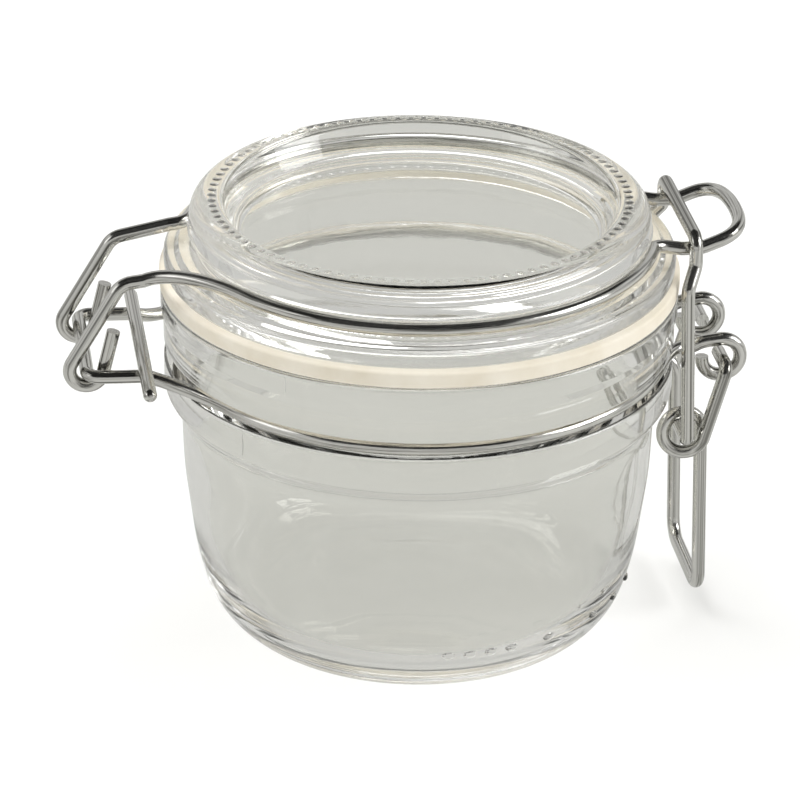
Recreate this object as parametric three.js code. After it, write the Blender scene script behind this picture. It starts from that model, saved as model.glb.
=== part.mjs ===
// Clip top jar: a small clear glass jar shut with a glass lid, a rubber ring and a spring wire clip.
// Millimetres, Z up, base centre at the origin, hinge towards -X and clip towards +X.
import * as THREE from "three";

// Glass jar
const BODY_R = 37.5;
const BAND_R = 40.2;
const RIM_R = 40.6;
const RIM_TOP = 57.9;
const MOUTH_R = 34.2;
const WALL = 3.0;
const FLOOR_T = 4.6;
const BASE_R = 24.6;

// Rubber ring
const RING_BOTTOM = 58.2;
const RING_TOP = 60.7;
const RING_R = 40.75;
const RING_HOLE_R = 34.6;

// Glass lid
const LID_UNDER = 61.0;
const LID_TOP = 71.9;
const BEAD_TOP = 72.2;
const BEAD_R = 32.4;
const LID_FLANGE_R = 40.0;
const LID_FLANGE_TOP = 63.9;
const LID_SIDE_R = 36.0;
const LID_RECESS_R = 28.0;
const LID_RECESS_Z = 67.3;

// Wires
const WIRE_R = 1.1;
const GAP = 0.3;
const GROOVE_R = WIRE_R + GAP;
const LID_RING_R = 36.5;
const LID_RING_Z = 65.9;
const NECK_RING_R = 38.7;
const NECK_RING_Z = 47.4;

// Hinge
const HINGE_X = -53.0;
const HINGE_Z = 49.2;
const HINGE_HALF = 11.6;
const HOOK_R = 2.6;
const HOOK_Y = 9.0;
const STUB_TOP = 55.6;
const HINGE_LEG_Z = 48.9;
const BAR_X = -44.4;
const BAR_NEAR = -24.6;
const BAR_FAR = 14.2;

// Clip
const PIVOT_X = 47.2;
const PIVOT_Z = 45.3;
const EYE_R = 3.1;
const EYE_Y = 7.8;
const COIL_X = 40.8;
const COIL_Z = 34.0;
const COIL_R = 3.2;
const LEVER_Y = 12.3;
const HANDLE_Y = 9.8;
const HANDLE_X = 44.9;
const HANDLE_Z = 4.7;
const LINK_Y = 14.8;
const LINK_TOP_Y = 12.4;
const TONGUE_Y = 9.8;
const TONGUE_DIP_Z = 65.15;
const TONGUE_END_X = 50.0;
const TONGUE_END_Z = 67.5;
const LINK_LEG_X = 39.8;
const LINK_BAR_X = 41.3;

const TURN_STEPS = 48;
const SECTION_SIDES = 8;

const V = (x, y, z) => new THREE.Vector3(x, y, z);

// Path through given points, sampled exactly at those points
class SampledPath extends THREE.Curve {
  constructor(points) {
    super();
    this.points = points;
  }

  getPoint(t, target = new THREE.Vector3()) {
    const last = this.points.length - 1;
    const at = Math.min(Math.max(t, 0), 1) * last;
    const low = Math.min(Math.floor(at), last - 1);
    return target.copy(this.points[low]).lerp(this.points[low + 1], at - low);
  }

  getPointAt(u, target) {
    return this.getPoint(u, target);
  }

  getTangentAt(u, target = new THREE.Vector3()) {
    const last = this.points.length - 1;
    const i = Math.round(Math.min(Math.max(u, 0), 1) * last);
    const before = this.points[Math.max(i - 1, 0)];
    const after = this.points[Math.min(i + 1, last)];
    const here = this.points[i];
    const into = here.clone().sub(before);
    const out = after.clone().sub(here);
    if (into.lengthSq() > 0) into.normalize();
    if (out.lengthSq() > 0) out.normalize();
    return target.copy(into.add(out)).normalize();
  }
}

// Round section swept along the points
function wire(points, radius) {
  const section = [];
  const r = radius * 1.06;
  for (let i = 0; i < SECTION_SIDES; i += 1) {
    const a = ((i + 0.5) * 2 * Math.PI) / SECTION_SIDES;
    section.push(new THREE.Vector2(r * Math.cos(a), r * Math.sin(a)));
  }
  return new THREE.ExtrudeGeometry(new THREE.Shape(section), {
    steps: points.length - 1,
    extrudePath: new SampledPath(points),
  });
}

// Polyline with rounded corners; each entry is [point, bend radius]
function bent(entries, perBend) {
  const out = [];
  for (let i = 0; i < entries.length; i += 1) {
    const [p, r] = entries[i];
    if (!r) {
      out.push(p.clone());
      continue;
    }
    const a = entries[i - 1][0].clone().sub(p).normalize();
    const b = entries[i + 1][0].clone().sub(p).normalize();
    const half = Math.acos(Math.min(Math.max(a.dot(b), -1), 1)) / 2;
    const reach = r / Math.tan(half);
    const mid = a.clone().add(b).normalize();
    const centre = p.clone().addScaledVector(mid, r / Math.sin(half));
    const start = p.clone().addScaledVector(a, reach).sub(centre);
    const end = p.clone().addScaledVector(b, reach).sub(centre);
    const sweep = Math.PI - 2 * half;
    const count = perBend || Math.max(2, Math.ceil(sweep / 0.4));
    for (let k = 0; k <= count; k += 1) {
      const t = k / count;
      const w0 = Math.sin((1 - t) * sweep) / Math.sin(sweep);
      const w1 = Math.sin(t * sweep) / Math.sin(sweep);
      out.push(start.clone().multiplyScalar(w0).addScaledVector(end, w1).add(centre));
    }
  }
  return out;
}

// Points of a flat arc about the vertical axis, angles in degrees
function ringArc(radius, z, from, to, stepDegrees) {
  const count = Math.max(1, Math.round(Math.abs(to - from) / stepDegrees));
  const out = [];
  for (let i = 0; i <= count; i += 1) {
    const a = THREE.MathUtils.degToRad(from + ((to - from) * i) / count);
    out.push(V(radius * Math.cos(a), radius * Math.sin(a), z));
  }
  return out;
}

// Points of an arc in a plane across the Y axis, seen from the front
function sideArc(cx, cz, radius, from, to, y0, y1, count) {
  const out = [];
  for (let i = 0; i <= count; i += 1) {
    const a = THREE.MathUtils.degToRad(from + ((to - from) * i) / count);
    const y = y0 + ((y1 - y0) * i) / count;
    out.push(V(cx + radius * Math.cos(a), y, cz + radius * Math.sin(a)));
  }
  return out;
}

function bezier(a, b, c, d, count) {
  return new THREE.CubicBezierCurve3(a, b, c, d).getPoints(count);
}

// Joins runs of points and drops repeated ones
function join(...runs) {
  const out = [];
  for (const run of runs) {
    for (const p of run) {
      if (!out.length || out[out.length - 1].distanceTo(p) > 0.05) out.push(p);
    }
  }
  return out;
}

function mirrored(points) {
  return points.map((p) => V(p.x, -p.y, p.z)).reverse();
}

function turned(profile) {
  const points = profile.map(([r, z]) => new THREE.Vector2(r, z));
  return new THREE.LatheGeometry(points, TURN_STEPS).rotateX(Math.PI / 2);
}

// Inner half of a groove round a wire, from below to above
function groove(r, z, lip) {
  const out = [[lip, z - GROOVE_R]];
  for (let i = 0; i <= 6; i += 1) {
    const a = -Math.PI / 2 - (Math.PI * i) / 6;
    out.push([r + GROOVE_R * Math.cos(a), z + GROOVE_R * Math.sin(a)]);
  }
  return out;
}

// Jar: bowl shaped body, band, wire groove and flat rim
const jarProfile = [
  [0, 0],
  [BASE_R, 0],
  [BASE_R + 2.6, 0.4],
  [BASE_R + 5.5, 1.9],
  [BASE_R + 8.0, 4.6],
  [BASE_R + 9.6, 8.2],
  [BASE_R + 10.9, 13.5],
  [BODY_R - 1.1, 20.0],
  [BODY_R - 0.3, 27.0],
  [BODY_R, 34.6],
  [BODY_R + 0.2, 36.8],
  [BODY_R + 0.8, 38.2],
  [BAND_R - 0.7, 39.8],
  [BAND_R, 41.2],
  [BAND_R, NECK_RING_Z - 1.9],
  ...groove(NECK_RING_R, NECK_RING_Z, BAND_R - 0.4),
  [RIM_R - 0.4, NECK_RING_Z + GROOVE_R],
  [RIM_R, NECK_RING_Z + 1.9],
  [RIM_R, RIM_TOP - 0.6],
  [RIM_R - 0.6, RIM_TOP],
  [MOUTH_R + 0.6, RIM_TOP],
  [MOUTH_R, RIM_TOP - 0.6],
  [MOUTH_R, 46.0],
  [BODY_R - WALL - 0.3, 32.0],
  [BODY_R - WALL - 1.2, 21.0],
  [BODY_R - WALL - 2.9, 12.5],
  [BODY_R - WALL - 6.3, FLOOR_T + 2.2],
  [BODY_R - WALL - 10.8, FLOOR_T + 0.2],
  [0, FLOOR_T],
];

// Rubber ring with eased edges
const ringProfile = [
  [RING_HOLE_R, RING_BOTTOM],
  [RING_R - 0.5, RING_BOTTOM],
  [RING_R, RING_BOTTOM + 0.5],
  [RING_R, RING_TOP - 0.5],
  [RING_R - 0.5, RING_TOP],
  [RING_HOLE_R, RING_TOP],
  [RING_HOLE_R, RING_BOTTOM],
];

// Lid: locating rib, flange, wire groove, rounded rim with the ring of beads as a low ridge, and sunk top
const lidProfile = [
  [0, 63.4],
  [28.0, 63.4],
  [30.2, 62.4],
  [30.8, 59.4],
  [33.2, 59.4],
  [33.8, LID_UNDER],
  [LID_FLANGE_R - 0.5, LID_UNDER],
  [LID_FLANGE_R, LID_UNDER + 0.5],
  [LID_FLANGE_R, LID_FLANGE_TOP - 0.6],
  [LID_FLANGE_R - 0.6, LID_FLANGE_TOP],
  ...groove(LID_RING_R, LID_RING_Z, 37.6),
  [LID_SIDE_R, 67.6],
  [LID_SIDE_R, LID_TOP - 3.0],
  [LID_SIDE_R - 0.25, LID_TOP - 1.5],
  [LID_SIDE_R - 1.1, LID_TOP - 0.4],
  [LID_SIDE_R - 2.6, LID_TOP],
  [BEAD_R + 0.7, BEAD_TOP],
  [BEAD_R - 0.7, BEAD_TOP],
  [BEAD_R - 1.1, LID_TOP - 0.1],
  [30.4, LID_TOP - 0.7],
  [28.9, LID_RECESS_Z + 1.2],
  [LID_RECESS_R, LID_RECESS_Z],
  [0, LID_RECESS_Z],
];

// Lid wire: stub, hook round the hinge bar, leg, half ring, dipped tongue with a bowed end, and back again.
// The near leg sweeps into the ring and the far leg meets it at a bend.
function lidWirePoints() {
  const bendX = -47.4;
  const bendZ = 63.4;
  const dx = bendX - HINGE_X;
  const dz = bendZ - HINGE_Z;
  const toBend = THREE.MathUtils.radToDeg(Math.atan2(dz, dx));
  const open = THREE.MathUtils.radToDeg(Math.acos(HOOK_R / Math.hypot(dx, dz)));
  const hook = sideArc(HINGE_X, HINGE_Z, HOOK_R, 346, toBend + open, -HOOK_Y, -HOOK_Y, 12);
  const stubLow = hook[0];
  const rise = STUB_TOP - stubLow.z;
  const stub = V(stubLow.x + rise * 0.25, -HOOK_Y, STUB_TOP);
  const start = ringArc(LID_RING_R, LID_RING_Z, 215, 216, 1)[0];
  const along = THREE.MathUtils.degToRad(35);
  const tangent = V(-Math.sin(along), Math.cos(along), 0);
  const legEnd = V(-44.0, -HOOK_Y, 63.8);
  const leg = bent([
    [hook[hook.length - 1], 0],
    [V(bendX, -HOOK_Y, bendZ), 3.5],
    [legEnd, 0],
  ], 4);
  const sweep = bezier(
    legEnd,
    legEnd.clone().add(V(4.0, 0, 1.5)),
    start.clone().addScaledVector(tangent, 7.0),
    start,
    9,
  );
  const ring = ringArc(LID_RING_R, LID_RING_Z, 215, 343, 6.4);
  const dip = bent([
    [ring[ring.length - 1], 0],
    [V(36.1, -TONGUE_Y, LID_RING_Z - 0.1), 1.6],
    [V(39.6, -TONGUE_Y, TONGUE_DIP_Z), 4.0],
    [V(42.8, -TONGUE_Y, TONGUE_DIP_Z), 4.0],
    [V(45.0, -TONGUE_Y, TONGUE_DIP_Z + 0.85), 0],
  ], 3);
  const tip = bezier(
    dip[dip.length - 1],
    V(TONGUE_END_X - 1.2, -TONGUE_Y, TONGUE_END_Z - 0.1),
    V(TONGUE_END_X, -TONGUE_Y + 3.6, TONGUE_END_Z),
    V(TONGUE_END_X, 0, TONGUE_END_Z),
    7,
  );
  const farRing = ringArc(LID_RING_R, LID_RING_Z, 200, 343, 6.5);
  const farLeg = bent([
    [hook[hook.length - 1], 0],
    [V(bendX, -HOOK_Y, bendZ), 3.5],
    [V(-38.6, -8.2, LID_RING_Z - 0.4), 4.0],
    [V(-36.0, -8.1, LID_RING_Z), 2.0],
    [farRing[0], 0],
  ], 4);
  const near = join([stub], hook, leg, sweep, ring, dip, tip);
  const far = join([stub], hook, farLeg, farRing, dip, tip);
  return join(near, mirrored(far));
}

// Neck wire: eye, half ring, hinge leg, hinge bar, and back again
function neckWirePoints() {
  const eye = sideArc(PIVOT_X, PIVOT_Z, EYE_R, -184.5, 90, -EYE_Y, -EYE_Y, 15);
  const z = NECK_RING_Z;
  const outA = V(42.6, -EYE_Y, z);
  const legIn = [eye[eye.length - 1], V(44.2, -EYE_Y, PIVOT_Z + EYE_R - 0.35), outA];
  const from = ringArc(NECK_RING_R, z, 335, 334, 1)[0];
  const a = THREE.MathUtils.degToRad(25);
  const fromWay = V(Math.sin(a), Math.cos(a), 0);
  const sweepA = bezier(
    outA,
    outA.clone().add(V(-4.0, 0, 0)),
    from.clone().addScaledVector(fromWay, 5.0),
    from,
    6,
  );
  const ring = ringArc(NECK_RING_R, z, 335, 214, 6.05);
  const end = ring[ring.length - 1];
  const b = THREE.MathUtils.degToRad(34);
  const endWay = V(-Math.sin(b), Math.cos(b), 0);
  const legStart = V(-44.0, -HINGE_HALF, HINGE_LEG_Z);
  const sweepB = bezier(
    end,
    end.clone().addScaledVector(endWay, 6.5),
    legStart.clone().add(V(3.2, 0, -1.2)),
    legStart,
    9,
  );
  const tip = bent([
    [legStart, 0],
    [V(HINGE_X, -HINGE_HALF, HINGE_Z), 2.0],
    [V(HINGE_X, 0, HINGE_Z), 0],
  ], 5);
  const half = join(eye, legIn, sweepA, ring, sweepB, tip);
  return join(half, mirrored(half));
}

// Lever: pin through the eye, leg, one coil, handle leg and handle bar, and back again
function leverPoints() {
  const dx = PIVOT_X - COIL_X;
  const dz = PIVOT_Z - COIL_Z;
  const toPivot = THREE.MathUtils.radToDeg(Math.atan2(dz, dx));
  const touch = toPivot - THREE.MathUtils.radToDeg(Math.acos(COIL_R / Math.hypot(dx, dz)));
  const coil = sideArc(COIL_X, COIL_Z, COIL_R, touch, -362.5, -LEVER_Y, -HANDLE_Y, 20);
  const leg = bent([
    [V(PIVOT_X, -EYE_Y + 2.0, PIVOT_Z), 0],
    [V(PIVOT_X, -LEVER_Y, PIVOT_Z), 1.5],
    [coil[0], 0],
  ], 4);
  const handle = bent([
    [coil[coil.length - 1], 0],
    [V(HANDLE_X, -HANDLE_Y, HANDLE_Z), 3.4],
    [V(HANDLE_X, 0, HANDLE_Z), 0],
  ], 5);
  const half = join(leg, coil, handle);
  return join(half, mirrored(half));
}

// Link: pin through the coil, leg with a jog, bar over the tongue, and back again
function linkPoints() {
  const barZ = TONGUE_DIP_Z + 2 * WIRE_R + GAP + 0.1;
  const half = bent([
    [V(COIL_X, -HANDLE_Y + 2.2, COIL_Z), 0],
    [V(COIL_X, -LINK_Y, COIL_Z), 1.5],
    [V(LINK_LEG_X, -LINK_Y, 60.2), 2.0],
    [V(LINK_BAR_X + 0.1, -LINK_TOP_Y, 63.4), 2.0],
    [V(LINK_BAR_X, -LINK_TOP_Y, barZ), 2.0],
    [V(LINK_BAR_X, 0, barZ), 0],
  ], 4);
  return join(half, mirrored(half));
}

// Short rod lying across the two hinge legs
function barPoints() {
  const t = (BAR_X + 44.0) / (HINGE_X + 44.0);
  const legZ = HINGE_LEG_Z + (HINGE_Z - HINGE_LEG_Z) * t;
  const z = legZ + 2 * WIRE_R + GAP;
  return [V(BAR_X, BAR_NEAR, z), V(BAR_X, (BAR_NEAR + BAR_FAR) / 2, z), V(BAR_X, BAR_FAR, z)];
}

function piece(name, geometry, colour, roughness, metalness) {
  const material = new THREE.MeshStandardMaterial({ color: colour, roughness, metalness });
  material.name = name;
  const mesh = new THREE.Mesh(geometry, material);
  mesh.name = name;
  return mesh;
}

const jar = new THREE.Group();
jar.name = "clip_top_jar";
jar.add(piece("jar_glass", turned(jarProfile), 0xcfd6d2, 0.08, 0));
jar.add(piece("rubber_ring", turned(ringProfile), 0xe6ddc8, 0.6, 0));
jar.add(piece("lid_glass", turned(lidProfile), 0xcfd6d2, 0.08, 0));
jar.add(piece("lid_wire", wire(lidWirePoints(), WIRE_R), 0xb9bab8, 0.3, 1));
jar.add(piece("neck_wire", wire(neckWirePoints(), WIRE_R), 0xb9bab8, 0.3, 1));
jar.add(piece("hinge_rod", wire(barPoints(), WIRE_R), 0xb9bab8, 0.3, 1));
jar.add(piece("clip_lever", wire(leverPoints(), WIRE_R), 0xb9bab8, 0.3, 1));
jar.add(piece("clip_link", wire(linkPoints(), WIRE_R), 0xb9bab8, 0.3, 1));

export default jar;
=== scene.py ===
"""Clip top jar: small glass jar with a glass lid, rubber ring and spring wire hinge and clip."""

import math

import bpy
from mathutils import Matrix, Vector


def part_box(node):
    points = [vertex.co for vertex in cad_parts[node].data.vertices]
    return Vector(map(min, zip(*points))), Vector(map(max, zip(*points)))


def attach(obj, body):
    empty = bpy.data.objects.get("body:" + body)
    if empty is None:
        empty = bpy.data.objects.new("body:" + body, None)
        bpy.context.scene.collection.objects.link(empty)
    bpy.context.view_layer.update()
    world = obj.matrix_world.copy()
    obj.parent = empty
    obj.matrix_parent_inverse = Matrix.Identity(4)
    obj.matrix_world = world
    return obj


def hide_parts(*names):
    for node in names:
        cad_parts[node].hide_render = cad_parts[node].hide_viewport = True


bl_info = {
    "name": "Clip Top Jar",
    "version": (1, 0, 0),
    "blender": (4, 5, 0),
    "location": "View3D > Sidebar > Jar",
    "description": "Dresses the solids of a small clip top jar with glass, wire and rubber",
    "category": "Add Mesh",
}

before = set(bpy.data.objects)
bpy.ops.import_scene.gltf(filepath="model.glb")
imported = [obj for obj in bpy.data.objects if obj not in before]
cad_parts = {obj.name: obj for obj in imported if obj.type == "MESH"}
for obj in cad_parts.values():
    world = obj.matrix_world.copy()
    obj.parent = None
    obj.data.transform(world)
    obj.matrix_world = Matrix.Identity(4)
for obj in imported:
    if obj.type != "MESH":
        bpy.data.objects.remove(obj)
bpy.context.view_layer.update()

MM = 0.001

# Heights and radii of the jar's and the lid's outline, in millimetres; a ring is (radius, height)
BASE_RADIUS = 24.6
BODY_RADIUS = 37.5
BAND_RADIUS = 40.2
BAND_LOW = 42.0
RIM_RADIUS = 40.6
RIM_TOP = 57.9
MOUTH_RADIUS = 34.2
MOUTH_LOW = 50.0
NECK_RING = (38.7, 47.4)
LID_RING = (36.5, 65.9)
LID_CROWN = 71.9
RECESS_HEIGHT = 67.3
WIRE_GAP = 0.3

# Beads on the lid's rim: where their tops are, how far they are sunk and their half sizes
BEAD_TOP = 72.2
BEAD_RADIUS = 32.4
BEAD_SINK = 0.3
BEAD_HALF = (0.9, 0.85)

# Dots near the base: places taken in the row, angle between places, and where the row runs
DOT_PLACES = (0, 1, 2, 3, 5, 8, 10, 12)
DOT_START = -90
DOT_PITCH = 5.7
DOT_RADIUS = 34.45
DOT_HEIGHT = 9.5
DOT_LEAN = -17
DOT_HALF = (1.1, 0.78)

# Mould seams, upright hairlines on the band and the rim: angle, radius, height and half length
SEAMS = ((-140, BAND_RADIUS, 43.4, 1.9), (-128, RIM_RADIUS, 56.0, 1.4))
SEAM_HALF = (0.07, 0.25)

# Hinge, seen from the front: bar centre, hook and leg places
HINGE = (-53.0, 49.2)
HINGE_HALF = 11.6
HOOK_RADIUS = 2.6
HOOK_SIDE = 9.0
HOOK_BEND = (-47.4, 63.4)
HINGE_LEG = (-44.0, 48.9)
LID_LEG = (-44.0, 63.8)
STUB_TOP = 55.6
ROD_X = -44.4
ROD_NEAR = -24.6
ROD_FAR = 14.2

# Clip, seen from the front: lever pivot, coil centre, handle, link and tongue
PIVOT = (47.2, 45.3)
EYE_RADIUS = 3.1
EYE_SIDE = 7.8
COIL = (40.8, 34.0)
COIL_RADIUS = 3.2
LEVER_SIDE = 12.3
HANDLE = (44.9, 4.7)
HANDLE_SIDE = 9.8
LINK_SIDE = 14.8
LINK_TOP_SIDE = 12.4
LINK_LEG_X = 39.8
LINK_JOG = (60.2, 63.4)
LINK_BAR = (41.3, 67.75)
TONGUE_SIDE = 9.8
TONGUE_DIP = 65.15
TONGUE_END = (50.0, 67.5)

# Angles in degrees where the rings of wire meet their legs
LID_RING_HINGE = 215
LID_RING_FAR_HINGE = 200
LID_RING_CLIP = 343
NECK_RING_HINGE = 214
NECK_RING_CLIP = 335

# Shading breaks at edges sharper than this, in degrees
TURNED_SMOOTH = 40
WIRE_SMOOTH = 50

# Camera, from the circles in the photograph
CAMERA_PLACE = (-83.3, -540.9, 303.5)
CAMERA_RIGHT = (0.98980, -0.14209, 0.01041)
CAMERA_UP = (0.05303, 0.43528, 0.89873)
CAMERA_LENS = 172.0
CAMERA_SENSOR = 36.0
CAMERA_NEAR = 0.01

# Floor and the sheet under it: width in metres, and drop in millimetres
FLOOR_SIZE = 6.0
SHEET_DROP = 0.05

# Dark cards in front of the jar and over it, a metre away: direction, width and height
CARDS = {
    "front_card": ((-0.13, -0.68, 0.73), 1.7, 0.95),
    "ceiling_card": ((0.0, 0.12, 1.0), 2.0, 1.7),
}

# Softboxes: place and width in metres, power in watts, and whether wire and glass reflect them
SOFTBOXES = {
    "top_light": ((-0.25, 0.35, 1.1), 1.1, 9.0, False),
    "left_light": ((-1.0, -0.2, 0.55), 0.45, 0.6, True),
    "right_light": ((1.0, -0.3, 0.6), 0.6, 5.5, True),
}
LIGHT_AIM = (0, 0, 0.04)
ROOM_STRENGTH = 0.7

# Light has to pass many walls of glass
GLASS_BOUNCES = 24
WIRE_BOUNCES = 12


# Colours and nodes


def linear(hex_colour):
    """sRGB hex to linear RGBA."""
    out = []
    for i in (0, 2, 4):
        c = int(hex_colour[i:i + 2], 16) / 255
        out.append(c / 12.92 if c <= 0.04045 else ((c + 0.055) / 1.055) ** 2.4)
    return (*out, 1.0)


def node(tree, kind, inputs=None, links=None, stops=(), **settings):
    """Adds a node with its settings, input values, links from (node, output) and colour stops."""
    new = tree.nodes.new(kind)
    for key, value in settings.items():
        setattr(new, key, value)
    for key, value in (inputs or {}).items():
        new.inputs[key].default_value = value
    for key, (source, output) in (links or {}).items():
        tree.links.new(source.outputs[output], new.inputs[key])
    for _ in stops[2:]:
        new.color_ramp.elements.new(0.5)
    for i, (place, colour) in enumerate(stops):
        new.color_ramp.elements[i].position = place
        new.color_ramp.elements[i].color = colour
    return new


def blank_material(name):
    """New material with no nodes, and its node tree."""
    material = bpy.data.materials.new(name)
    material.use_nodes = True
    material.node_tree.nodes.clear()
    return material, material.node_tree


# Outlines and paths, in millimetres


def smooth(points, per=6):
    """Catmull-Rom curve through the points, which may be two or three numbers each."""
    points = [Vector(p) for p in points]
    ends = [points[0] * 2 - points[1]] + points + [points[-1] * 2 - points[-2]]
    out = []
    for a, b, c, d in zip(ends, ends[1:], ends[2:], ends[3:]):
        for k in range(per):
            t = k / per
            out.append(0.5 * (b * 2 + (c - a) * t + (a * 2 - b * 5 + c * 4 - d) * t ** 2
                              + (b * 3 - a - c * 3 + d) * t ** 3))
    out.append(points[-1])
    return out


def rounded(corners, per=6):
    """Polyline whose corners are given as (point, bend radius)."""
    out = []
    for i, (point, radius) in enumerate(corners):
        point = Vector(point)
        if not radius:
            out.append(point)
            continue
        a = (Vector(corners[i - 1][0]) - point).normalized()
        b = (Vector(corners[i + 1][0]) - point).normalized()
        half = a.angle(b) / 2
        centre = point + (a + b).normalized() * (radius / math.sin(half))
        start = point + a * (radius / math.tan(half)) - centre
        end = point + b * (radius / math.tan(half)) - centre
        sweep = math.pi - 2 * half
        for k in range(per + 1):
            w0 = math.sin((1 - k / per) * sweep) / math.sin(sweep)
            w1 = math.sin(k / per * sweep) / math.sin(sweep)
            out.append(centre + start * w0 + end * w1)
    return out


def arc(cx, cy, radius, start, end, steps):
    """Points of a flat arc, angles in degrees."""
    angles = [math.radians(start + (end - start) * k / steps) for k in range(steps + 1)]
    return [Vector((cx + radius * math.cos(a), cy + radius * math.sin(a))) for a in angles]


def level_arc(ring, start, end):
    """Arc about the jar's axis, about one point for each degree and a half."""
    steps = max(2, round(abs(end - start) / 1.5))
    return [Vector((p.x, p.y, ring[1])) for p in arc(0, 0, ring[0], start, end, steps)]


def side_arc(centre, radius, start, end, side_from, side_to, steps):
    """Arc seen from the front, drifting from one depth to another."""
    flat = arc(centre[0], centre[1], radius, start, end, steps)
    drift = side_to - side_from
    return [Vector((p.x, side_from + drift * k / steps, p.y)) for k, p in enumerate(flat)]


def bezier(a, b, c, d, steps=16):
    """Bezier curve from a to d."""
    out = []
    for k in range(steps + 1):
        t = k / steps
        s = 1 - t
        out.append(a * s ** 3 + b * (3 * s * s * t) + c * (3 * s * t * t) + d * t ** 3)
    return out


def joined(*runs):
    """Joins runs of points and drops those that repeat."""
    out = []
    for run in runs:
        for p in run:
            if not out or (p - out[-1]).length > 0.02:
                out.append(p)
    return out


def mirrored(half):
    """Way back on the other side of the middle plane."""
    return [Vector((p.x, -p.y, p.z)) for p in reversed(half)]


def both_sides(half):
    """Adds the mirrored way back to a path that ends on the middle plane."""
    return joined(half, mirrored(half))


def along(angle, sign):
    """Direction along a level ring at an angle in degrees."""
    a = math.radians(angle)
    return Vector((-math.sin(a), math.cos(a), 0)) * sign


# Building


def deselect():
    """Leaves edit mode and selects nothing."""
    if bpy.context.mode != "OBJECT":
        bpy.ops.object.mode_set(mode="OBJECT")
    bpy.ops.object.select_all(action="DESELECT")


def drawn_curve(name, points):
    """Adds a curve and draws it through the points, given in millimetres."""
    deselect()
    bpy.ops.curve.primitive_bezier_curve_add(location=(0, 0, 0))
    curve = bpy.context.object
    curve.name = name
    curve.data.name = name
    curve.data.dimensions = "3D"
    curve.data.splines.clear()
    spline = curve.data.splines.new("POLY")
    spline.points.add(len(points) - 1)
    for target, p in zip(spline.points, points):
        target.co = (p[0] * MM, p[1] * MM, p[2] * MM, 1)
    return curve


def close_mesh(merge):
    """Merges the points of the mesh in edit mode that meet and turns its faces outwards."""
    bpy.ops.mesh.select_all(action="SELECT")
    bpy.ops.mesh.remove_doubles(threshold=merge)
    bpy.ops.mesh.normals_make_consistent(inside=False)
    bpy.ops.object.mode_set(mode="OBJECT")


def turned_piece(name, outline, steps):
    """Draws half a section, spins it once about the jar's axis and closes it."""
    drawn_curve(name, [(p[0], 0, p[1]) for p in outline])
    bpy.ops.object.convert(target="MESH")
    piece = bpy.context.object
    bpy.ops.object.mode_set(mode="EDIT")
    bpy.ops.mesh.select_all(action="SELECT")
    bpy.ops.mesh.spin(steps=steps, angle=2 * math.pi, center=(0, 0, 0), axis=(0, 0, 1))
    close_mesh(merge=0.004 * MM)
    return piece


def wire_piece(name, path, radius, round_ends=False):
    """Sweeps round wire along a path, with a UV map in millimetres along and around the wire."""
    curve = drawn_curve(name, path)
    curve.data.bevel_depth = radius * MM
    curve.data.bevel_resolution = 6
    curve.data.use_fill_caps = True
    if round_ends:
        ease_ends(curve.data.splines[0].points, path, radius)
    bpy.ops.object.convert(target="MESH")
    piece = bpy.context.object
    length = sum((b - a).length for a, b in zip(path, path[1:]))
    for entry in piece.data.uv_layers.active.data:
        entry.uv = (entry.uv[0] * length, entry.uv[1] * 2 * math.pi * radius)
    bpy.ops.object.mode_set(mode="EDIT")
    close_mesh(merge=0.002 * MM)
    bpy.ops.object.shade_smooth_by_angle(angle=math.radians(WIRE_SMOOTH))
    return piece


def ease_ends(points, path, radius):
    """Thins the wire towards each end as a quarter circle, for a cut end that was rounded over."""
    for end in (path[0], path[-1]):
        for target, p in zip(points, path):
            reach = (p - end).length
            if reach < radius:
                target.radius = max(0.06, math.sqrt(1 - (1 - reach / radius) ** 2))


def finished(piece, material, slot, body, *nodes):
    """Gives a piece its material, hides the solids it stands for and says what it moves with. The
    slot is not used.
    """
    piece.data.materials.clear()
    piece.data.materials.append(material)
    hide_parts(*nodes)
    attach(piece, body)


def let_light_through(piece):
    """Clear glass hardly dims the floor under it."""
    piece.visible_shadow = False
    piece.visible_diffuse = False


def copied_lumps(size, places):
    """Raised oval lumps, one modelled and then copied to each place; half sizes in millimetres."""
    deselect()
    bpy.ops.mesh.primitive_uv_sphere_add(segments=14, ring_count=8, radius=MM)
    first = bpy.context.object
    lumps = []
    for place in places:
        lump = first.copy()
        lump.data = first.data.copy()
        lump.data.transform(place @ Matrix.Diagonal((*size, 1)))
        bpy.context.collection.objects.link(lump)
        lumps.append(lump)
    bpy.data.objects.remove(first)
    return lumps


def joined_by_union(piece, lumps):
    """Melts a lot of small raised lumps into a piece."""
    deselect()
    for lump in lumps:
        lump.select_set(True)
    bpy.context.view_layer.objects.active = lumps[0]
    bpy.ops.object.join()
    cutter = bpy.context.object
    deselect()
    piece.select_set(True)
    bpy.context.view_layer.objects.active = piece
    union = piece.modifiers.new("Lumps", "BOOLEAN")
    union.operation = "UNION"
    union.solver = "EXACT"
    union.object = cutter
    bpy.ops.object.modifier_apply(modifier=union.name)
    bpy.data.objects.remove(cutter)


def stage_sheet(name, finish, place, hidden_from):
    """Lays a flat board or card and hides it from the rays that are named."""
    deselect()
    bpy.ops.mesh.primitive_plane_add(size=1.0, location=(0, 0, 0))
    sheet = bpy.context.object
    sheet.name = name
    sheet.data.transform(place)
    sheet.data.materials.append(finish_of(finish))
    for ray in hidden_from:
        setattr(sheet, "visible_" + ray, False)


# Settings


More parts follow.
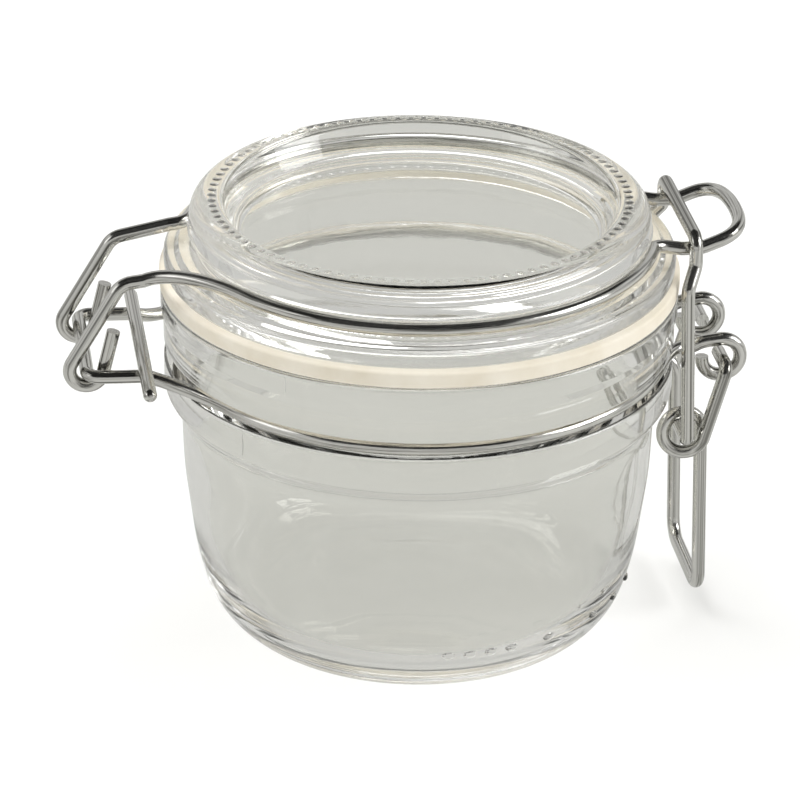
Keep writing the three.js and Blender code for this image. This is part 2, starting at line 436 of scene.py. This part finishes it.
class JarSizes(bpy.types.PropertyGroup):
    """Sizes that a user would change."""

    wire_radius: bpy.props.FloatProperty(
        name="Wire radius", description="Half the thickness of the drawn wire",
        default=1.07 * MM, min=0.8 * MM, max=1.1 * MM, subtype="DISTANCE", precision=5)
    turn_steps: bpy.props.IntProperty(
        name="Turn steps", description="Facets round the turned pieces",
        default=160, min=48, max=256)
    bead_count: bpy.props.IntProperty(
        name="Rim beads", description="Raised beads round the lid's rim",
        default=96, min=0, max=140)
    dot_rise: bpy.props.FloatProperty(
        name="Dot height", description="How far the dots near the base stand out",
        default=0.5 * MM, min=0.1 * MM, max=0.8 * MM, subtype="DISTANCE", precision=5)


class JarColours(bpy.types.PropertyGroup):
    """Colours that a user would change."""

    glass: bpy.props.FloatVectorProperty(
        name="Glass", description="Tint of the pressed glass",
        default=linear("F7F7F4"), size=4, min=0, max=1, subtype="COLOR")
    rubber: bpy.props.FloatVectorProperty(
        name="Rubber", description="Main colour of the rubber ring",
        default=linear("F0E9DA"), size=4, min=0, max=1, subtype="COLOR")
    rubber_dark: bpy.props.FloatVectorProperty(
        name="Rubber shade", description="Darker mottling of the rubber ring",
        default=linear("E5DCC9"), size=4, min=0, max=1, subtype="COLOR")
    steel: bpy.props.FloatVectorProperty(
        name="Wire", description="Colour of the bright wire",
        default=linear("DCDBD7"), size=4, min=0, max=1, subtype="COLOR")
    steel_dark: bpy.props.FloatVectorProperty(
        name="Wire streaks", description="Darker drawing marks of the wire",
        default=linear("72716C"), size=4, min=0, max=1, subtype="COLOR")
    floor: bpy.props.FloatVectorProperty(
        name="Floor", description="Colour of the floor",
        default=linear("F4F4F3"), size=4, min=0, max=1, subtype="COLOR")
    grey_card: bpy.props.FloatVectorProperty(
        name="Grey sheet", description="What glass and wire show of the floor",
        default=linear("CFCFCD"), size=4, min=0, max=1, subtype="COLOR")
    black_card: bpy.props.FloatVectorProperty(
        name="Dark card", description="Card that draws dark lines on the wire",
        default=linear("303030"), size=4, min=0, max=1, subtype="COLOR")
    room: bpy.props.FloatVectorProperty(
        name="Room", description="Colour of the light that comes from all round",
        default=linear("F0F0EE"), size=4, min=0, max=1, subtype="COLOR")


# Materials


def pressed_glass(colours):
    """Pressed soda-lime glass: clear and faintly green, with soft ripples from the mould that bend
    what is seen through it into long streaks."""
    material, tree = blank_material("pressed_soda_lime_glass")
    place = node(tree, "ShaderNodeTexCoord")
    # Broad flow ripples, about 16 mm wide and 6 mm high, so that they run round the jar
    wide = node(tree, "ShaderNodeMapping", links={"Vector": (place, "Object")},
                inputs={"Scale": (1 / (16 * MM), 1 / (16 * MM), 1 / (6 * MM))})
    ripples = node(tree, "ShaderNodeTexNoise", links={"Vector": (wide, "Vector")},
                   inputs={"Scale": 1.0, "Detail": 2.0, "Roughness": 0.45})
    # Chill marks of the cold mould, about 4 mm wide and 1.8 mm high
    fine = node(tree, "ShaderNodeMapping", links={"Vector": (place, "Object")},
                inputs={"Scale": (1 / (4 * MM), 1 / (4 * MM), 1 / (1.8 * MM))})
    chill = node(tree, "ShaderNodeTexNoise", links={"Vector": (fine, "Vector")},
                 inputs={"Scale": 1.0, "Detail": 3.0, "Roughness": 0.5})
    wave = node(tree, "ShaderNodeBump", links={"Height": (ripples, "Fac")},
                inputs={"Strength": 0.14, "Distance": 0.3 * MM})
    skin = node(tree, "ShaderNodeBump",
                links={"Height": (chill, "Fac"), "Normal": (wave, "Normal")},
                inputs={"Strength": 0.06, "Distance": 0.1 * MM})
    rough = node(tree, "ShaderNodeMapRange", links={"Value": (chill, "Fac")},
                 inputs={"From Min": 0.3, "From Max": 0.8, "To Min": 0.0, "To Max": 0.06})
    shader = node(tree, "ShaderNodeBsdfPrincipled",
                  links={"Normal": (skin, "Normal"), "Roughness": (rough, "Result")},
                  inputs={"Base Color": colours.glass, "IOR": 1.52, "Transmission Weight": 1.0})
    node(tree, "ShaderNodeOutputMaterial", links={"Surface": (shader, "BSDF")})
    return material


def moulded_rubber(colours):
    """Moulded natural rubber: cream, matt and slightly mottled, with a fine grain from the
    mould."""
    material, tree = blank_material("moulded_natural_rubber")
    place = node(tree, "ShaderNodeTexCoord")
    # Mottling in clouds of about 9 mm
    mottle = node(tree, "ShaderNodeTexNoise", links={"Vector": (place, "Object")},
                  inputs={"Scale": 1 / (9 * MM), "Detail": 4.0, "Roughness": 0.6})
    colour = node(tree, "ShaderNodeValToRGB", links={"Fac": (mottle, "Fac")},
                  stops=[(0.32, colours.rubber_dark), (0.62, colours.rubber)])
    # Mould grain of about 0.25 mm, drawn at 0.5 mm so that it shows
    grain = node(tree, "ShaderNodeTexNoise", links={"Vector": (place, "Object")},
                 inputs={"Scale": 1 / (0.5 * MM), "Detail": 2.0})
    bump = node(tree, "ShaderNodeBump", links={"Height": (grain, "Fac")},
                inputs={"Strength": 0.25, "Distance": 0.05 * MM})
    rough = node(tree, "ShaderNodeMapRange", links={"Value": (mottle, "Fac")},
                 inputs={"To Min": 0.5, "To Max": 0.68})
    shader = node(tree, "ShaderNodeBsdfPrincipled",
                  links={"Base Color": (colour, "Color"), "Normal": (bump, "Normal"),
                         "Roughness": (rough, "Result")},
                  inputs={"IOR": 1.52})
    node(tree, "ShaderNodeOutputMaterial", links={"Surface": (shader, "BSDF")})
    return material


def drawn_wire(colours):
    """Bright drawn steel wire: mirror-like, with fine grey drawing marks that run along the wire
    and short scuffs where it was bent."""
    material, tree = blank_material("bright_drawn_steel_wire")
    place = node(tree, "ShaderNodeTexCoord")
    # Drawing marks: about 0.1 mm apart, drawn at 0.4 mm so that they show, and 15 mm long
    long_way = node(tree, "ShaderNodeMapping", links={"Vector": (place, "UV")},
                    inputs={"Scale": (1 / 15, 1 / 0.4, 1.0)})
    marks = node(tree, "ShaderNodeTexNoise", links={"Vector": (long_way, "Vector")},
                 noise_dimensions="2D", inputs={"Scale": 1.0, "Detail": 3.0, "Roughness": 0.6})
    # Scuffs: patches of about 3 mm by 0.8 mm
    patch = node(tree, "ShaderNodeMapping", links={"Vector": (place, "UV")},
                 inputs={"Scale": (1 / 3, 1 / 0.8, 1.0)})
    scuffs = node(tree, "ShaderNodeTexNoise", links={"Vector": (patch, "Vector")},
                  noise_dimensions="2D", inputs={"Scale": 1.0, "Detail": 4.0, "Roughness": 0.7})
    colour = node(tree, "ShaderNodeValToRGB", links={"Fac": (marks, "Fac")},
                  stops=[(0.3, colours.steel_dark), (0.55, colours.steel)])
    rough = node(tree, "ShaderNodeMapRange", links={"Value": (scuffs, "Fac")},
                 inputs={"From Min": 0.35, "From Max": 0.75, "To Min": 0.1, "To Max": 0.27})
    lines = node(tree, "ShaderNodeBump", links={"Height": (marks, "Fac")},
                 inputs={"Strength": 0.16, "Distance": 0.05 * MM})
    knocks = node(tree, "ShaderNodeBump",
                  links={"Height": (scuffs, "Fac"), "Normal": (lines, "Normal")},
                  inputs={"Strength": 0.14, "Distance": 0.06 * MM})
    shader = node(tree, "ShaderNodeBsdfPrincipled",
                  links={"Base Color": (colour, "Color"), "Roughness": (rough, "Result"),
                         "Normal": (knocks, "Normal")},
                  inputs={"Metallic": 1.0})
    node(tree, "ShaderNodeOutputMaterial", links={"Surface": (shader, "BSDF")})
    return material


def stage_finish(name, colour):
    """Plain matt board or card for the stage: one even tone with no shine."""
    material, tree = blank_material(name)
    shader = node(tree, "ShaderNodeBsdfPrincipled",
                  inputs={"Base Color": colour, "Roughness": 0.85})
    node(tree, "ShaderNodeOutputMaterial", links={"Surface": (shader, "BSDF")})
    return material


def white_board(colours):
    return stage_finish("matt_white_board", colours.floor)


def grey_card(colours):
    return stage_finish("matt_grey_card", colours.grey_card)


def black_card(colours):
    return stage_finish("matt_black_card", colours.black_card)


MAKERS = {
    "pressed_soda_lime_glass": pressed_glass,
    "moulded_natural_rubber": moulded_rubber,
    "bright_drawn_steel_wire": drawn_wire,
    "matt_white_board": white_board,
    "matt_grey_card": grey_card,
    "matt_black_card": black_card,
}


def finish_of(name):
    """The named material, made when it is first asked for."""
    found = bpy.data.materials.get(name)
    return found or MAKERS[name](bpy.context.scene.jar_colours)


# Operators


class JAR_OT_glass_jar(bpy.types.Operator):
    """Turns the glass jar and raises its mould seams and the row of dots near its base"""

    bl_idname = "jar.glass_jar"
    bl_label = "Glass Jar"

    def execute(self, context):
        sizes = context.scene.jar_sizes
        gap = sizes.wire_radius / MM + WIRE_GAP
        ring_r, ring_z = NECK_RING
        foot = smooth([(0, 0.7), (9.0, 0.55), (17.0, 0.2), (BASE_RADIUS - 1.5, 0.0)])
        bowl = smooth([
            (BASE_RADIUS, 0.0), (27.2, 0.4), (30.1, 1.9), (32.6, 4.6), (34.2, 8.2), (35.5, 13.5),
            (36.4, 20.0), (37.2, 27.0), (BODY_RADIUS, 34.6), (37.7, 36.9), (38.3, 38.3),
            (39.5, 40.0), (40.05, 41.0), (BAND_RADIUS, BAND_LOW)], 5)
        below = rounded([
            ((BAND_RADIUS, BAND_LOW), 0), ((BAND_RADIUS, ring_z - gap), 0.5),
            ((ring_r, ring_z - gap), 0)])
        trough = arc(ring_r, ring_z, gap, 270, 90, 14)
        above = rounded([
            ((ring_r, ring_z + gap), 0), ((BAND_RADIUS, ring_z + gap), 0.5),
            ((BAND_RADIUS, 53.0), 0.6), ((RIM_RADIUS, 54.4), 0.8), ((RIM_RADIUS, RIM_TOP), 0.8),
            ((MOUTH_RADIUS, RIM_TOP), 1.2), ((MOUTH_RADIUS, MOUTH_LOW), 0)])
        inside = smooth([
            (MOUTH_RADIUS, MOUTH_LOW), (MOUTH_RADIUS, 42.0), (34.2, 32.0), (33.4, 21.0),
            (32.2, 13.0), (30.2, 8.0), (27.0, 5.4), (22.5, 4.7), (12.0, 4.6), (0, 4.6)])
        outline = joined(foot, bowl, below, trough, above, inside)
        piece = turned_piece("glass_jar", outline, sizes.turn_steps)
        joined_by_union(piece, self.dots(sizes.dot_rise / MM) + self.seams())
        bpy.ops.object.shade_smooth_by_angle(angle=math.radians(TURNED_SMOOTH))
        finished(piece, finish_of("pressed_soda_lime_glass"), "clear_glass", "root", "jar_glass")
        let_light_through(piece)
        return {"FINISHED"}

    def dots(self, rise):
        """Row of dots that lean back with the wall of the jar."""
        lean = Matrix.Rotation(math.radians(DOT_LEAN), 4, "Y")
        place = Matrix.Translation((DOT_RADIUS * MM, 0, DOT_HEIGHT * MM))
        places = []
        for step in DOT_PLACES:
            turn = Matrix.Rotation(math.radians(DOT_START + DOT_PITCH * step), 4, "Z")
            places.append(turn @ place @ lean)
        return copied_lumps((rise, *DOT_HALF), places)

    def seams(self):
        """Hairlines where the halves of the mould met."""
        lumps = []
        for angle, radius, height, half in SEAMS:
            turn = Matrix.Rotation(math.radians(angle), 4, "Z")
            place = Matrix.Translation((radius * MM, 0, height * MM))
            lumps += copied_lumps((*SEAM_HALF, half), [turn @ place])
        return lumps


class JAR_OT_glass_lid(bpy.types.Operator):
    """Turns the glass lid and raises the beads round its rim"""

    bl_idname = "jar.glass_lid"
    bl_label = "Glass Lid"

    def execute(self, context):
        sizes = context.scene.jar_sizes
        gap = sizes.wire_radius / MM + WIRE_GAP
        ring_r, ring_z = LID_RING
        under = rounded([
            ((0, 63.4), 0), ((28.0, 63.4), 1.5), ((30.2, 62.4), 0.8), ((30.8, 59.4), 0.6),
            ((33.2, 59.4), 0.6), ((33.8, 61.0), 0.3), ((40.0, 61.0), 0.6), ((40.0, 63.9), 0.9),
            ((38.4, 64.0), 0.8), ((37.6, ring_z - gap), 0.4), ((ring_r, ring_z - gap), 0)])
        trough = arc(ring_r, ring_z, gap, 270, 100, 14)
        rim = rounded([
            ((36.26, 67.28), 0), ((36.0, 67.6), 0.3), ((36.0, LID_CROWN), 2.8),
            ((31.0, LID_CROWN), 1.2), ((28.8, RECESS_HEIGHT), 1.4), ((27.0, RECESS_HEIGHT), 0),
            ((0, RECESS_HEIGHT), 0)], 8)
        piece = turned_piece("glass_lid", joined(under, trough, rim), sizes.turn_steps)
        place = Matrix.Translation((BEAD_RADIUS * MM, 0, (LID_CROWN - BEAD_SINK) * MM))
        places = []
        for k in range(sizes.bead_count):
            places.append(Matrix.Rotation(2 * math.pi * k / sizes.bead_count, 4, "Z") @ place)
        if places:
            half = (*BEAD_HALF, BEAD_TOP - LID_CROWN + BEAD_SINK)
            joined_by_union(piece, copied_lumps(half, places))
        bpy.ops.object.shade_smooth_by_angle(angle=math.radians(TURNED_SMOOTH))
        finished(piece, finish_of("pressed_soda_lime_glass"), "clear_glass", "root", "lid_glass")
        let_light_through(piece)
        return {"FINISHED"}


class JAR_OT_rubber_ring(bpy.types.Operator):
    """Turns the rubber ring with its eased edges"""

    bl_idname = "jar.rubber_ring"
    bl_label = "Rubber Ring"

    def execute(self, context):
        low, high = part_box("rubber_ring")
        bottom, top, outer = low[2] / MM, high[2] / MM, high[0] / MM
        hole = MOUTH_RADIUS + 0.4
        start = (hole, bottom + 1.2)
        outline = rounded([
            (start, 0), ((hole, bottom), 0.4), ((outer, bottom), 0.45), ((outer, top), 0.45),
            ((hole, top), 0.4), (start, 0)])
        steps = context.scene.jar_sizes.turn_steps
        piece = turned_piece("rubber_ring_dressed", outline, steps)
        bpy.ops.object.shade_smooth_by_angle(angle=math.radians(TURNED_SMOOTH))
        finished(piece, finish_of("moulded_natural_rubber"), "cream_rubber", "root", "rubber_ring")
        return {"FINISHED"}


class JAR_OT_lid_wire(bpy.types.Operator):
    """Bends the lid wire: hooks round the hinge bar, legs, ring and the tongue at the clip"""

    bl_idname = "jar.lid_wire"
    bl_label = "Lid Wire"

    def execute(self, context):
        radius = context.scene.jar_sizes.wire_radius / MM
        ring_z = LID_RING[1]
        bend = Vector((HOOK_BEND[0], -HOOK_SIDE, HOOK_BEND[1]))
        dx = HOOK_BEND[0] - HINGE[0]
        dz = HOOK_BEND[1] - HINGE[1]
        touch = math.degrees(math.atan2(dz, dx) + math.acos(HOOK_RADIUS / math.hypot(dx, dz)))
        hook = side_arc(HINGE, HOOK_RADIUS, 346, touch, -HOOK_SIDE, -HOOK_SIDE, 30)
        stub = hook[0] + Vector((0.25, 0, 1)) * (STUB_TOP - hook[0].z)
        leg_end = Vector((LID_LEG[0], -HOOK_SIDE, LID_LEG[1]))
        leg = rounded([(hook[-1], 0), (bend, 3.5), (leg_end, 0)], 10)
        ring = level_arc(LID_RING, LID_RING_HINGE, LID_RING_CLIP)
        before_ring = ring[0] + along(LID_RING_HINGE, -1) * 7
        sweep = bezier(leg_end, leg_end + Vector((4.0, 0, 1.5)), before_ring, ring[0])
        side = -TONGUE_SIDE
        dip = rounded([
            (ring[-1], 0), ((36.1, side, ring_z - 0.1), 3.6), ((39.6, side, TONGUE_DIP), 4.0),
            ((42.8, side, TONGUE_DIP), 4.0), ((45.0, side, TONGUE_DIP + 0.85), 0)], 8)
        end = Vector((TONGUE_END[0], 0, TONGUE_END[1]))
        corner = end + Vector((-1.2, side, -0.1))
        tip = bezier(dip[-1], corner, end + Vector((0, side + 3.6, 0)), end, 24)
        near = joined([stub], hook, leg, sweep, ring, dip, tip)
        # The far leg runs straight in and meets the ring at a bend
        far_ring = level_arc(LID_RING, LID_RING_FAR_HINGE, LID_RING_CLIP)
        far_leg = rounded([
            (hook[-1], 0), (bend, 3.5), ((-38.6, -8.2, ring_z - 0.4), 4.0),
            ((-36.0, -8.1, ring_z), 2.0), (far_ring[0], 0)], 10)
        far = joined([stub], hook, far_leg, far_ring, dip, tip)
        piece = wire_piece("lid_wire_dressed", joined(near, mirrored(far)), radius)
        finished(piece, finish_of("bright_drawn_steel_wire"), "bright_wire", "root", "lid_wire")
        return {"FINISHED"}


class JAR_OT_neck_wire(bpy.types.Operator):
    """Bends the neck wire with its eyes and hinge loop, and lays the rod across the loop"""

    bl_idname = "jar.neck_wire"
    bl_label = "Neck Wire and Hinge Rod"

    def execute(self, context):
        radius = context.scene.jar_sizes.wire_radius / MM
        steel = finish_of("bright_drawn_steel_wire")
        eye = side_arc(PIVOT, EYE_RADIUS, -184.5, 90, -EYE_SIDE, -EYE_SIDE, 40)
        out = Vector((42.6, -EYE_SIDE, NECK_RING[1]))
        leg = smooth([eye[-1], (44.2, -EYE_SIDE, PIVOT[1] + EYE_RADIUS - 0.35), out], 6)
        ring = level_arc(NECK_RING, NECK_RING_CLIP, NECK_RING_HINGE)
        before_ring = ring[0] + along(NECK_RING_CLIP, 1) * 5
        sweep = bezier(out, out + Vector((-4, 0, 0)), before_ring, ring[0])
        leg_start = Vector((HINGE_LEG[0], -HINGE_HALF, HINGE_LEG[1]))
        after_ring = ring[-1] + along(NECK_RING_HINGE, -1) * 6.5
        turn = bezier(ring[-1], after_ring, leg_start + Vector((3.2, 0, -1.2)), leg_start)
        tip = rounded([
            (leg_start, 0), ((HINGE[0], -HINGE_HALF, HINGE[1]), 2.0),
            ((HINGE[0], 0, HINGE[1]), 0)], 10)
        path = both_sides(joined(eye, leg, sweep, ring, turn, tip))
        piece = wire_piece("neck_wire_dressed", path, radius)
        finished(piece, steel, "bright_wire", "root", "neck_wire")
        low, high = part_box("hinge_rod")
        height = (low[2] + high[2]) / 2 / MM
        # Points lie closer together towards the rounded ends
        steps = [k / 8 for k in range(9)]
        near = [Vector((ROD_X, ROD_NEAR + radius * s * s, height)) for s in steps]
        far = [Vector((ROD_X, ROD_FAR - radius * s * s, height)) for s in reversed(steps)]
        rod = wire_piece("hinge_rod_dressed", joined(near, far), radius, round_ends=True)
        finished(rod, steel, "bright_wire", "root", "hinge_rod")
        return {"FINISHED"}


class JAR_OT_clip(bpy.types.Operator):
    """Bends the clip: lever with its coils and handle, and the link that pulls the tongue down"""

    bl_idname = "jar.clip"
    bl_label = "Clip Lever and Link"

    def execute(self, context):
        radius = context.scene.jar_sizes.wire_radius / MM
        steel = finish_of("bright_drawn_steel_wire")
        dx = PIVOT[0] - COIL[0]
        dz = PIVOT[1] - COIL[1]
        touch = math.degrees(math.atan2(dz, dx) - math.acos(COIL_RADIUS / math.hypot(dx, dz)))
        coil = side_arc(COIL, COIL_RADIUS, touch, -362.5, -LEVER_SIDE, -HANDLE_SIDE, 60)
        leg = rounded([
            ((PIVOT[0], -EYE_SIDE + 2, PIVOT[1]), 0), ((PIVOT[0], -LEVER_SIDE, PIVOT[1]), 1.5),
            (coil[0], 0)], 8)
        handle = rounded([
            (coil[-1], 0), ((HANDLE[0], -HANDLE_SIDE, HANDLE[1]), 3.4),
            ((HANDLE[0], 0, HANDLE[1]), 0)], 12)
        lever = wire_piece("clip_lever_dressed", both_sides(joined(leg, coil, handle)), radius)
        finished(lever, steel, "bright_wire", "lever", "clip_lever")
        bar_x, bar_z = LINK_BAR
        half = rounded([
            ((COIL[0], -HANDLE_SIDE + 2.2, COIL[1]), 0), ((COIL[0], -LINK_SIDE, COIL[1]), 1.5),
            ((LINK_LEG_X, -LINK_SIDE, LINK_JOG[0]), 2.0),
            ((bar_x + 0.1, -LINK_TOP_SIDE, LINK_JOG[1]), 2.0),
            ((bar_x, -LINK_TOP_SIDE, bar_z), 2.0), ((bar_x, 0, bar_z), 0)], 10)
        link = wire_piece("clip_link_dressed", both_sides(half), radius)
        finished(link, steel, "bright_wire", "link", "clip_link")
        return {"FINISHED"}


class JAR_OT_stage(bpy.types.Operator):
    """Lays the floor and sets the light and the camera"""

    bl_idname = "jar.stage"
    bl_label = "Floor, Light and Camera"

    def execute(self, context):
        self.lay_floor()
        self.light_room(context)
        self.hang_cards()
        for name, (place, size, power, reflected) in SOFTBOXES.items():
            light = self.softbox(context, name, place, size, power)
            light.visible_glossy = reflected
        self.set_camera(context)
        view = context.scene.view_settings
        view.view_transform = "Standard"
        view.exposure = 0.0
        cycles = context.scene.cycles
        cycles.max_bounces = GLASS_BOUNCES
        cycles.transmission_bounces = GLASS_BOUNCES
        cycles.glossy_bounces = WIRE_BOUNCES
        cycles.use_denoising = True
        return {"FINISHED"}

    def lay_floor(self):
        """White floor, and a grey sheet just under it that only glass and wire show, so that the
        glass reads as grey."""
        flat = Matrix.Diagonal((FLOOR_SIZE, FLOOR_SIZE, 1, 1))
        stage_sheet("floor", "matt_white_board", flat, ("glossy", "transmission", "shadow"))
        drop = Matrix.Translation((0, 0, -SHEET_DROP * MM))
        stage_sheet("grey_sheet", "matt_grey_card", drop @ flat, ("camera", "diffuse", "shadow"))

    def light_room(self, context):
        """Even white light from all round."""
        world = bpy.data.worlds.new("studio_room")
        context.scene.world = world
        world.use_nodes = True
        tree = world.node_tree
        tree.nodes.clear()
        light = node(tree, "ShaderNodeBackground",
                     inputs={"Color": context.scene.jar_colours.room, "Strength": ROOM_STRENGTH})
        node(tree, "ShaderNodeOutputWorld", links={"Surface": (light, "Background")})

    def hang_cards(self):
        """Dark cards, which draw the dark lines on bright wire."""
        hidden_from = ("camera", "diffuse", "transmission", "shadow")
        for name, (way, width, height) in CARDS.items():
            way = Vector(way).normalized()
            turn = way.to_track_quat("Z", "Y").to_matrix().to_4x4()
            place = Matrix.Translation(way) @ turn @ Matrix.Diagonal((width, height, 1, 1))
            stage_sheet(name, "matt_black_card", place, hidden_from)

    def softbox(self, context, name, place, size, power):
        """Square area light that faces the jar."""
        data = bpy.data.lights.new(name, "AREA")
        data.shape = "SQUARE"
        data.size = size
        data.energy = power
        light = bpy.data.objects.new(name, data)
        context.collection.objects.link(light)
        light.location = place
        aim = Vector(LIGHT_AIM) - Vector(place)
        light.rotation_euler = aim.to_track_quat("-Z", "Y").to_euler()
        return light

    def set_camera(self, context):
        """Camera at the photograph's viewing angle."""
        data = bpy.data.cameras.new("photo_camera")
        data.sensor_fit = "HORIZONTAL"
        data.sensor_width = CAMERA_SENSOR
        data.lens = CAMERA_LENS
        data.clip_start = CAMERA_NEAR
        camera = bpy.data.objects.new("photo_camera", data)
        context.collection.objects.link(camera)
        right = Vector(CAMERA_RIGHT).normalized()
        up = Vector(CAMERA_UP)
        up = (up - right * up.dot(right)).normalized()
        back = right.cross(up)
        turn = Matrix((right, up, back)).transposed().to_4x4()
        camera.matrix_world = Matrix.Translation(Vector(CAMERA_PLACE) * MM) @ turn
        context.scene.camera = camera


class JAR_PT_panel(bpy.types.Panel):
    """Lists the jar's pieces in the sidebar"""

    bl_idname = "JAR_PT_panel"
    bl_label = "Clip Top Jar"
    bl_space_type = "VIEW_3D"
    bl_region_type = "UI"
    bl_category = "Jar"

    def draw(self, context):
        layout = self.layout
        for group in (context.scene.jar_sizes, context.scene.jar_colours):
            box = layout.box()
            for key in group.__annotations__:
                box.prop(group, key)
        for operator in OPERATORS:
            layout.operator(operator.bl_idname)


OPERATORS = (
    JAR_OT_stage,
    JAR_OT_glass_jar,
    JAR_OT_glass_lid,
    JAR_OT_rubber_ring,
    JAR_OT_lid_wire,
    JAR_OT_neck_wire,
    JAR_OT_clip,
)
CLASSES = (JarSizes, JarColours, *OPERATORS, JAR_PT_panel)


def register():
    for cls in CLASSES:
        bpy.utils.register_class(cls)
    bpy.types.Scene.jar_sizes = bpy.props.PointerProperty(type=JarSizes)
    bpy.types.Scene.jar_colours = bpy.props.PointerProperty(type=JarColours)


def unregister():
    del bpy.types.Scene.jar_colours
    del bpy.types.Scene.jar_sizes
    for cls in reversed(CLASSES):
        bpy.utils.unregister_class(cls)


def main():
    register()
    bpy.ops.jar.stage()
    bpy.ops.jar.glass_jar()
    bpy.ops.jar.glass_lid()
    bpy.ops.jar.rubber_ring()
    bpy.ops.jar.lid_wire()
    bpy.ops.jar.neck_wire()
    bpy.ops.jar.clip()


if __name__ == "__main__":
    main()
